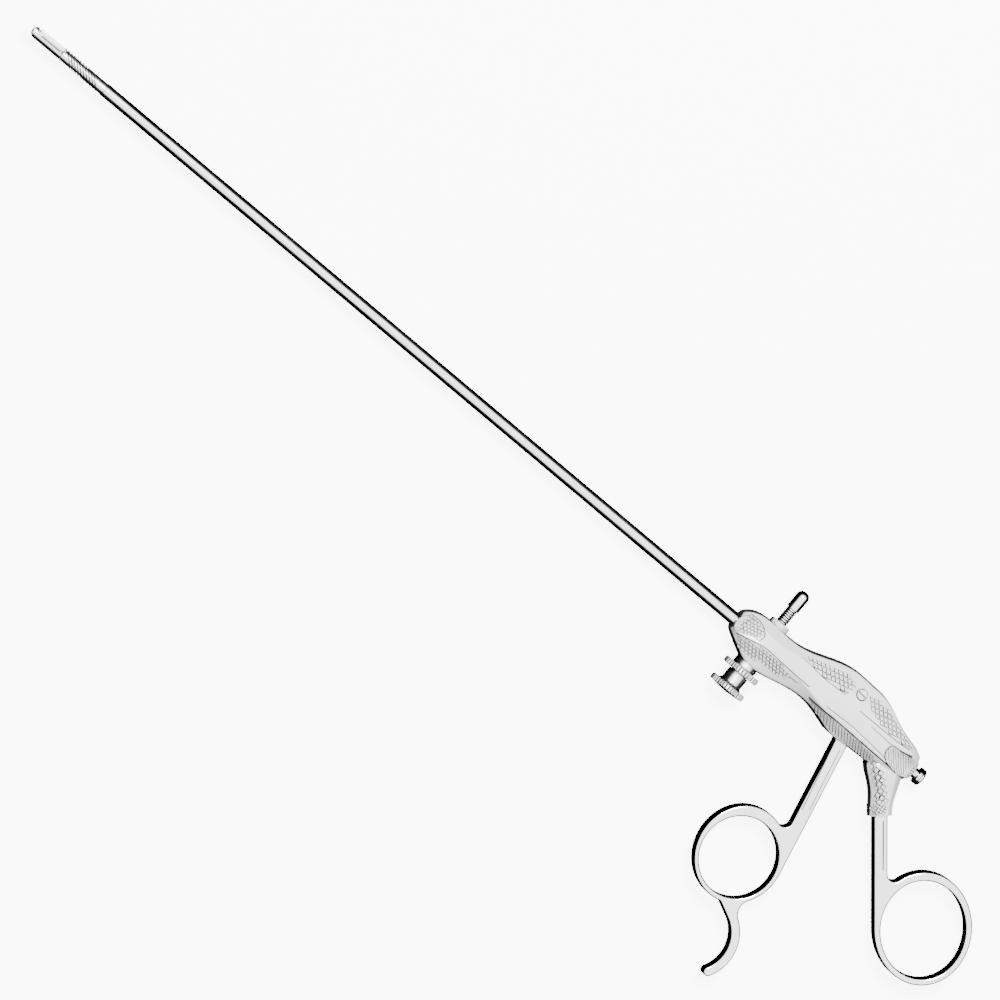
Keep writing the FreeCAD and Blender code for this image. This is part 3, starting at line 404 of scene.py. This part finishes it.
def chequer_cell(tree, given):
    """One cell: a slanted block that narrows to its top and carries its own height."""
    cube = node(tree, "GeometryNodeMeshCube", {"Size": (1, 1, 1)})
    place = node(tree, "GeometryNodeInputPosition").outputs["Position"]
    split = node(tree, "ShaderNodeSeparateXYZ", {0: place}).outputs
    height = calc(tree, "ADD", split["Z"], 0.5)
    loss = vector_calc(tree, "SUBTRACT", given["Top Share"], (1, 1, 1))
    share = vector_calc(tree, "ADD", vector_calc(tree, "SCALE", loss, height), (1, 1, 1))
    narrowed = node(tree, "ShaderNodeSeparateXYZ", {0: vector_calc(tree, "MULTIPLY", place, share)}).outputs
    first = vector_calc(tree, "SCALE", given["First Step"], narrowed["X"])
    second = vector_calc(tree, "SCALE", given["Second Step"], narrowed["Y"])
    whole = calc(tree, "ADD", given["Height"], given["Sunk"])
    lift = calc(tree, "SUBTRACT", calc(tree, "MULTIPLY", height, whole), given["Sunk"])
    up = node(tree, "ShaderNodeCombineXYZ", {"Z": lift}).outputs["Vector"]
    shaped = vector_calc(tree, "ADD", vector_calc(tree, "ADD", first, second), up)
    tagged = node(tree, "GeometryNodeStoreNamedAttribute", data_type="FLOAT", domain="POINT")
    tree.links.new(cube.outputs["Mesh"], tagged.inputs["Geometry"])
    tagged.inputs["Name"].default_value = "relief"
    tree.links.new(height, tagged.inputs["Value"])
    return node(tree, "GeometryNodeSetPosition", {
        "Geometry": tagged.outputs["Geometry"], "Position": shaped}).outputs["Geometry"]


def line_tree():
    """A fine bead along a smooth line above the host, laid on it half sunk, with thin ends."""
    tree, given, result = relief_tree("surface line", [
        ("Host", "NodeSocketObject"), ("Radius", "NodeSocketFloat"), ("Step", "NodeSocketFloat"),
        ("Finish", "NodeSocketMaterial")])
    curve = node(tree, "GeometryNodeMeshToCurve", {"Mesh": given["Geometry"]}).outputs["Curve"]
    smooth = node(tree, "GeometryNodeCurveSplineType", {"Curve": curve}, spline_type="CATMULL_ROM")
    even = node(tree, "GeometryNodeResampleCurve", mode="LENGTH")
    tree.links.new(smooth.outputs["Curve"], even.inputs["Curve"])
    tree.links.new(given["Step"], even.inputs["Length"])
    flank = drop_onto(tree, host_mesh(tree, given["Host"]), 3 * ABOVE_FLANK)
    laid = node(tree, "GeometryNodeSetPosition", {
        "Geometry": even.outputs["Curve"], "Position": flank["Hit Position"]})
    along = node(tree, "GeometryNodeSplineParameter").outputs["Factor"]
    from_end = calc(tree, "MINIMUM", along, calc(tree, "SUBTRACT", 1.0, along))
    width = calc(tree, "MINIMUM", calc(tree, "MULTIPLY_ADD", from_end, 5.0, 0.25), 1.0)
    sized = node(tree, "GeometryNodeSetCurveRadius", {"Curve": laid.outputs["Geometry"], "Radius": width})
    tree.links.new(round_bead(tree, given, sized.outputs["Curve"]), result)
    return tree


def round_bead(tree, given, curve):
    """The finished bead of round section along a curve."""
    profile = node(tree, "GeometryNodeCurvePrimitiveCircle", {"Resolution": 6, "Radius": given["Radius"]})
    bead = node(tree, "GeometryNodeCurveToMesh", {
        "Curve": curve, "Profile Curve": profile.outputs["Curve"], "Fill Caps": True})
    real = node(tree, "GeometryNodeRealizeInstances", {"Geometry": bead.outputs["Mesh"]})
    finish = node(tree, "GeometryNodeSetMaterial", {
        "Geometry": real.outputs["Geometry"], "Material": given["Finish"]})
    return finish.outputs["Geometry"]


def bead_tree():
    """A bead of one thickness along the edges of its mesh."""
    tree, given, result = relief_tree("bead", [
        ("Radius", "NodeSocketFloat"), ("Finish", "NodeSocketMaterial")])
    curve = node(tree, "GeometryNodeMeshToCurve", {"Mesh": given["Geometry"]}).outputs["Curve"]
    tree.links.new(round_bead(tree, given, curve), result)
    return tree


def slanted_ring_tree():
    """Fine slanted rings in a row along X, round a bar."""
    tree, given, result = relief_tree("slanted rings", [
        ("Start", "NodeSocketVector"), ("Pitch", "NodeSocketVector"), ("Count", "NodeSocketInt"),
        ("Bar Radius", "NodeSocketFloat"), ("Slant", "NodeSocketFloat"), ("Ring Radius", "NodeSocketFloat"),
        ("Finish", "NodeSocketMaterial")])
    row = node(tree, "GeometryNodeMeshLine", {
        "Count": given["Count"], "Start Location": given["Start"], "Offset": given["Pitch"]})
    ring = node(tree, "GeometryNodeCurvePrimitiveCircle", {"Resolution": 32, "Radius": given["Bar Radius"]})
    place = node(tree, "GeometryNodeInputPosition").outputs["Position"]
    split = node(tree, "ShaderNodeSeparateXYZ", {0: place}).outputs
    shift = calc(tree, "MULTIPLY", split["X"], given["Slant"])
    turned = node(tree, "ShaderNodeCombineXYZ", {"X": shift, "Y": split["X"], "Z": split["Y"]})
    slanted = node(tree, "GeometryNodeSetPosition", {
        "Geometry": ring.outputs["Curve"], "Position": turned.outputs["Vector"]})
    profile = node(tree, "GeometryNodeCurvePrimitiveCircle", {
        "Resolution": 5, "Radius": given["Ring Radius"]})
    bead = node(tree, "GeometryNodeCurveToMesh", {
        "Curve": slanted.outputs["Geometry"], "Profile Curve": profile.outputs["Curve"]})
    rings = node(tree, "GeometryNodeInstanceOnPoints", {
        "Points": row.outputs["Mesh"], "Instance": bead.outputs["Mesh"]})
    real = node(tree, "GeometryNodeRealizeInstances", {"Geometry": rings.outputs["Instances"]})
    finish = node(tree, "GeometryNodeSetMaterial", {
        "Geometry": real.outputs["Geometry"], "Material": given["Finish"]})
    tree.links.new(finish.outputs["Geometry"], result)
    return tree


CHEQUERING = chequer_tree()
SURFACE_LINE = line_tree()
BEAD = bead_tree()
SLANTED_RINGS = slanted_ring_tree()


def grow(tree, mesh, **values):
    """The plain mesh that a geometry tree makes from a mesh and its named inputs."""
    holder = mesh_object("holder", mesh)
    modifier = holder.modifiers.new("relief", "NODES")
    modifier.node_group = tree
    for item in tree.interface.items_tree:
        label = item.name.lower().replace(" ", "_")
        if item.in_out == "INPUT" and label in values:
            modifier[item.identifier] = values[label]
    depsgraph = bpy.context.evaluated_depsgraph_get()
    result = bpy.data.meshes.new_from_object(holder.evaluated_get(depsgraph))
    bpy.data.objects.remove(holder)
    return result


def flat_mesh(points, closed):
    """A polygon or a line of edges at a fixed height above the flank, from points in millimetres."""
    corners = [(x * MM, y * MM, ABOVE_FLANK) for x, y in points]
    edges = [] if closed else [(i, i + 1) for i in range(len(corners) - 1)]
    faces = [list(range(len(corners)))] if closed else []
    mesh = bpy.data.meshes.new("flat")
    mesh.from_pydata(corners, edges, faces)
    mesh.update()
    return mesh


def mirrored(mesh):
    """The mesh turned over to the other flank, with its faces still outwards."""
    mesh.transform(Matrix.Scale(-1.0, 4, (0, 0, 1)))
    mesh.flip_normals()
    return mesh


def join_meshes(name, meshes):
    work = bmesh.new()
    for mesh in meshes:
        work.from_mesh(mesh)
    for face in work.faces:
        face.material_index = 0
    joined = bpy.data.meshes.new(name)
    work.to_mesh(joined)
    work.free()
    joined.materials.append(next(filter(None, meshes[0].materials)))
    return joined


# Lattices of the grip cells: first and second step in mm, and the top's share of the cell
CHECK = (0.64, 0.64, 1.0)
STRIPE = (0.62, 1.0, 1.0)
NOSE_CELLS = ((0.83, -0.965), (1.25, 0.33), CHECK)
FRONT_CELLS = ((0.93, -1.07), (1.62, 0.0), CHECK)
CROWN_CELLS = ((1.11, -1.286), (1.67, 0.435), CHECK)
BELLY_RIBS = ((1.35, 0.0), (0.66, -0.68), STRIPE)
THUMB_RIBS = ((1.3, 0.0), (0.66, -0.68), STRIPE)
LEG_CELLS = ((1.79, 0.15), (-0.31, 1.72), CHECK)
LEG_END_CELLS = ((1.08, 0.09), (-0.19, 1.03), CHECK)

# Grip zones on each flank: outline in mm and lattice
ZONES = {
    "nose": ([(1.2, 4.2), (3.4, 4.9), (5.9, 4.6), (8.4, 3.2), (9.3, 1.6), (8.8, -0.4), (5.6, -1.4),
              (2.4, -2.4), (1.1, -2.0)], NOSE_CELLS),
    "front flank": ([(3.0, -3.9), (7.4, -2.7), (13.4, -1.6), (21.5, -2.0), (27.5, -3.4), (24.0, -5.2),
                     (16.0, -6.2), (9.0, -6.8), (4.5, -6.4)], FRONT_CELLS),
    "front crown": ([(27.5, 5.9), (31.0, 7.4), (36.0, 9.2), (42.0, 10.4), (46.6, 10.4), (47.4, 8.0),
                     (45.5, 5.6), (40.0, 4.9), (34.0, 4.7), (29.5, 5.0)], CROWN_CELLS),
    "rear crown": ([(55.0, 10.8), (58.0, 10.8), (64.0, 9.5), (70.0, 7.8), (77.0, 5.6), (77.5, 4.6),
                    (72.0, 4.3), (65.0, 4.6), (58.0, 5.6), (54.6, 7.8)], CROWN_CELLS),
    "belly": ([(38.5, -5.1), (46.0, -5.1), (54.0, -5.2), (62.0, -5.3), (69.0, -5.6), (68.0, -8.8),
               (60.0, -8.8), (52.0, -8.4), (46.0, -7.6), (41.0, -6.8)], BELLY_RIBS),
    "thumb": ([(71.4, 0.6), (71.1, -1.8), (73.6, -3.9), (78.0, -4.8), (82.0, -4.4), (82.6, -2.0),
               (82.4, 0.8), (80.0, 2.2), (75.5, 1.5)], THUMB_RIBS),
    "leg": ([(69.5, -7.6), (76.6, -13.6), (80.0, -18.0), (84.0, -15.5), (82.2, -13.1), (75.5, -8.3),
             (71.4, -6.6)], LEG_CELLS),
    "leg end": ([(79.6, -19.2), (82.2, -22.4), (86.6, -18.4), (84.2, -15.8)], LEG_END_CELLS),
}
CELL_HEIGHT = 0.22 * MM
CELL_SUNK = 0.03 * MM
LATTICE_ROWS = 61
LEAST_LEAN = 0.45


def grip_zones(host):
    """The cells of all grip zones on one flank's host."""
    meshes = []
    for outline, (first, second, share) in ZONES.values():
        middle = sum((Vector(p) for p in outline), Vector((0, 0))) / len(outline)
        meshes.append(grow(
            CHEQUERING, flat_mesh(outline, True), host=host,
            centre=(middle.x * MM, middle.y * MM, 1.2 * ABOVE_FLANK),
            first_step=(first[0] * MM, first[1] * MM, 0.0),
            second_step=(second[0] * MM, second[1] * MM, 0.0),
            rows=LATTICE_ROWS, top_share=share, height=CELL_HEIGHT, sunk=CELL_SUNK,
            least_lean=LEAST_LEAN, finish=CHEQUERED))
    return meshes


# Dark lines of painted shadow along the facet edges on each flank: points in mm and the bead's radius in mm
LINES = [
    ([(2.1, 5.0), (5.9, 5.05), (9.0, 3.4), (10.2, 1.7), (9.6, -0.5)], 0.17),
    ([(2.3, -3.4), (7.4, -2.1), (13.4, -0.95), (21.5, -1.2), (34.2, -1.5)], 0.17),
    ([(24.2, -3.2), (30.3, -3.1)], 0.12),
    ([(25.7, 5.0), (36.8, 4.2), (46.2, 4.7)], 0.13),
    ([(53.8, 3.5), (71.0, 3.6), (77.2, 4.2)], 0.15),
    ([(60.6, 1.8), (72.0, 1.6), (79.6, 3.1)], 0.13),
    ([(37.0, -4.3), (43.1, -4.5), (60.0, -4.65), (75.7, -4.85)], 0.26),
    ([(43.6, -2.9), (56.7, -2.5), (72.7, -3.6)], 0.13),
    ([(79.7, 2.8), (75.0, 1.9), (71.4, 1.5), (70.5, -0.6), (71.2, -2.8), (73.6, -4.4), (78.7, -5.4)], 0.18),
]
LINE_STEP = 0.5 * MM


def surface_lines(host, lines=LINES):
    """Beads along the lines, laid on a host."""
    return [grow(SURFACE_LINE, flat_mesh(points, False), host=host, radius=radius * MM, step=LINE_STEP,
                 finish=SHADOW_LINE) for points, radius in lines]


def dress_flanks():
    """The chequered zones and the dark edge lines of painted shadow on both flanks, each set one piece on
    the handle.
    """
    upper = mesh_object("upper_host", frame["nodes"]["housing_left"].data.copy())
    lower = mesh_object("lower_host", mirrored(frame["nodes"]["housing_right"].data.copy()))
    for name, maker in (("grip_chequering", grip_zones), ("facet_lines", surface_lines)):
        meshes = maker(upper) + [mirrored(mesh) for mesh in maker(lower)]
        piece = mesh_object(name, join_meshes(name, meshes))
        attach(piece, "handle")
    for host in (upper, lower):
        bpy.data.objects.remove(host)


# Dark lines of painted shadow along the edges of the levers and the jaw: host, body, slot, points in mm and
# the bead's radius in mm
EDGE_LINES = {
    "front_stem_lines": ("front_lever", "lever", "polished_steel", [
        ([(54.9, -11.6), (57.4, -22.6), (60.5, -35.4)], 0.2),
        ([(55.8, -10.8), (58.7, -22.2), (62.4, -36.2)], 0.15),
        ([(58.9, -11.5), (61.4, -22.2), (64.5, -34.4)], 0.12)]),
    "rear_stem_lines": ("rear_handle", "handle", "polished_steel", [
        ([(85.4, -23.5), (95.2, -34.9), (105.8, -47.0)], 0.2),
        ([(87.7, -20.8), (93.4, -27.4), (99.1, -34.1)], 0.18)]),
    "jaw_lines": ("fixed_jaw", "handle", "blade_steel", [
        ([(-330.2, 1.2), (-327.5, 0.24), (-318.5, 0.22)], 0.14),
        ([(-329.0, 1.6), (-326.4, 1.5), (-318.5, 1.7)], 0.14)]),
}


def dress_edges():
    """The fine dark lines of painted shadow along the levers' stems and the jaw, each set one piece on its
    body.
    """
    for name, (host, body, slot, lines) in EDGE_LINES.items():
        piece = mesh_object(name, join_meshes(name, surface_lines(frame["nodes"][host], lines)))
        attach(piece, body)


# The joint between the shells: height of the section, bead radius, probe distance and weld
SEAM_CUT = 0.3 * MM
SEAM_RADIUS = 0.45 * MM
SEAM_PROBE = 0.1 * MM
SEAM_WELD = 0.02 * MM


def seam_outline():
    """The outer edges of the upper shell's section near the joint, laid in the joint's plane."""
    work = bmesh.new()
    work.from_mesh(frame["nodes"]["housing_left"].data)
    walls = BVHTree.FromBMesh(work)
    cut = bmesh.ops.bisect_plane(work, geom=work.verts[:] + work.edges[:] + work.faces[:],
                                 plane_co=(0, 0, SEAM_CUT), plane_no=(0, 0, 1), clear_inner=True)
    points = []
    for edge in cut["geom_cut"]:
        if not isinstance(edge, bmesh.types.BMEdge) or not edge.link_faces:
            continue
        outwards = edge.link_faces[0].normal.copy()
        outwards.z = 0.0
        middle = (edge.verts[0].co + edge.verts[1].co) / 2
        if outwards.length > 0.5 and walls.ray_cast(middle + outwards * SEAM_PROBE, outwards)[0] is None:
            points += [(v.co.x, v.co.y, 0.0) for v in edge.verts]
    work.free()
    mesh = bpy.data.meshes.new("seam")
    mesh.from_pydata(points, [(i, i + 1) for i in range(0, len(points), 2)], [])
    weld = bmesh.new()
    weld.from_mesh(mesh)
    bmesh.ops.remove_doubles(weld, verts=weld.verts, dist=SEAM_WELD)
    weld.to_mesh(mesh)
    weld.free()
    return mesh


def dress_seam():
    """A dark bead in the joint between the two shells, painting the shadow of the joint line."""
    piece = mesh_object("shell_seam", grow(BEAD, seam_outline(), radius=SEAM_RADIUS, finish=SHADOW_LINE))
    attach(piece, "handle")


# Dark rings of painted shade round the bare tube: distances from its two ends, pitch, slope and bead radius
RINGS_BEHIND_MOUTH = 2.9 * MM
RINGS_BEFORE_SLEEVE = 3.0 * MM
RING_PITCH = 1.35 * MM
RING_SLANT = -1.18
RING_RADIUS = 0.17 * MM


def dress_bare_tube():
    """Fine dark slanted rings of painted shade round the bare tube behind the jaws."""
    low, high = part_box("fork_tip")
    mouth = low.x + RINGS_BEHIND_MOUTH
    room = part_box("shaft_sleeve")[0].x - mouth - RINGS_BEFORE_SLEEVE
    empty = bpy.data.meshes.new("empty")
    mesh = grow(SLANTED_RINGS, empty, start=(mouth, 0.0, 0.0), pitch=(RING_PITCH, 0.0, 0.0),
                count=int(room / RING_PITCH), bar_radius=high.y, slant=RING_SLANT,
                ring_radius=RING_RADIUS, finish=SHADOW_LINE)
    piece = mesh_object("tube_rings", mesh)
    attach(piece, "handle")


# Stage

def camera_axes():
    """Right, up and back directions of the camera in the row frame."""
    along = Vector((math.cos(CAMERA_TILT), 0, math.sin(CAMERA_TILT)))
    across = Vector((0, 1, 0))
    right = math.cos(SHAFT_ANGLE) * along + math.sin(SHAFT_ANGLE) * across
    up = -math.sin(SHAFT_ANGLE) * along + math.cos(SHAFT_ANGLE) * across
    return right, up, right.cross(up)


def picture_centre():
    right, up, back = camera_axes()
    middle = IMAGE_SIZE / 2
    return METRES_PER_PIXEL * (right * (middle - NOSE_PIXEL[0]) - up * (middle - NOSE_PIXEL[1]))


def make_camera():
    right, up, back = camera_axes()
    distance = LENS * IMAGE_SIZE * METRES_PER_PIXEL / SENSOR
    data = bpy.data.cameras.new("camera")
    data.lens = LENS
    data.sensor_width = SENSOR
    data.clip_start = 0.05
    data.clip_end = 60.0
    camera = bpy.data.objects.new("camera", data)
    turn = Matrix((right, up, back)).transposed().to_4x4()
    camera.matrix_world = Matrix.Translation(picture_centre() + back * distance) @ turn
    bpy.context.scene.collection.objects.link(camera)
    bpy.context.scene.camera = camera


def area_light(name, direction, distance, size, power):
    """A soft square light in a direction given as shares of the camera's right, up and back."""
    right, up, back = camera_axes()
    offset = (right * direction[0] + up * direction[1] + back * direction[2]).normalized() * distance
    data = bpy.data.lights.new(name, "AREA")
    data.shape = "SQUARE"
    data.size = size
    data.energy = power
    light = bpy.data.objects.new(name, data)
    light.location = picture_centre() + offset
    light.rotation_mode = "QUATERNION"
    light.rotation_quaternion = (-offset).to_track_quat("-Z", "Y")
    light.visible_camera = False
    bpy.context.scene.collection.objects.link(light)


# Light levels of the sky: what mirrors see, what lights matt surfaces, and the backdrop
MIRROR_SKY = {"dark": 0.0, "bright": 3.4, "low": 0.5, "high": 0.84}
SOFT_SKY = {"dark": 0.01, "bright": 0.12, "low": 0.2, "high": 0.9}
BACKDROP = 2.5


def sky(tree, height, dark, bright, low, high):
    """Background light that rises from dark below the horizon to bright overhead."""
    level = map_range(tree, height, low, high, dark, bright)
    light = node(tree, "ShaderNodeBackground", {"Color": (1, 1, 1, 1), "Strength": level})
    return light.outputs["Background"]


def make_world():
    world = bpy.data.worlds.new("studio")
    bpy.context.scene.world = world
    world.use_nodes = True
    tree = world.node_tree
    tree.nodes.clear()
    coords = node(tree, "ShaderNodeTexCoord").outputs["Generated"]
    height = node(tree, "ShaderNodeSeparateXYZ", {0: coords}).outputs["Z"]
    seen = node(tree, "ShaderNodeBackground", {"Color": (1, 1, 1, 1), "Strength": BACKDROP})
    path = node(tree, "ShaderNodeLightPath").outputs
    mirror = sky(tree, height, **MIRROR_SKY)
    soft = sky(tree, height, **SOFT_SKY)
    lit = node(tree, "ShaderNodeMixShader", {"Fac": path["Is Glossy Ray"], 1: soft, 2: mirror})
    whole = node(tree, "ShaderNodeMixShader", {
        "Fac": path["Is Camera Ray"], 1: lit.outputs["Shader"], 2: seen.outputs["Background"]})
    output = node(tree, "ShaderNodeOutputWorld", {"Surface": whole.outputs["Shader"]})
    output.is_active_output = True


FLOOR_RADIUS = 6.0
FLOOR_GAP = 0.05 * MM
FLOOR_GLOW = 8.0


def make_floor():
    """A pale glowing disc under the instrument, which neither lights it nor shows in its mirrors."""
    low = cad_box[0][2]
    mesh = bpy.data.meshes.new("floor")
    work = bmesh.new()
    bmesh.ops.create_circle(work, cap_ends=True, radius=FLOOR_RADIUS, segments=96,
                            matrix=Matrix.Translation((0, 0, low - FLOOR_GAP)))
    work.to_mesh(mesh)
    work.free()
    floor = mesh_object("floor", mesh)
    floor.visible_diffuse = False
    floor.visible_glossy = False
    material, tree, shader = new_material("pale floor")
    shader.inputs["Base Color"].default_value = (0.7, 0.7, 0.7, 1)
    shader.inputs["Roughness"].default_value = 0.9
    shader.inputs["Emission Color"].default_value = (1, 1, 1, 1)
    shader.inputs["Emission Strength"].default_value = FLOOR_GLOW
    mesh.materials.append(material)


dress_nodes()
dress_flanks()
dress_edges()
dress_seam()
dress_bare_tube()
make_floor()
make_world()
area_light("key", (0.30, 0.22, 1.0), distance=1.6, size=0.45, power=95.0)
make_camera()
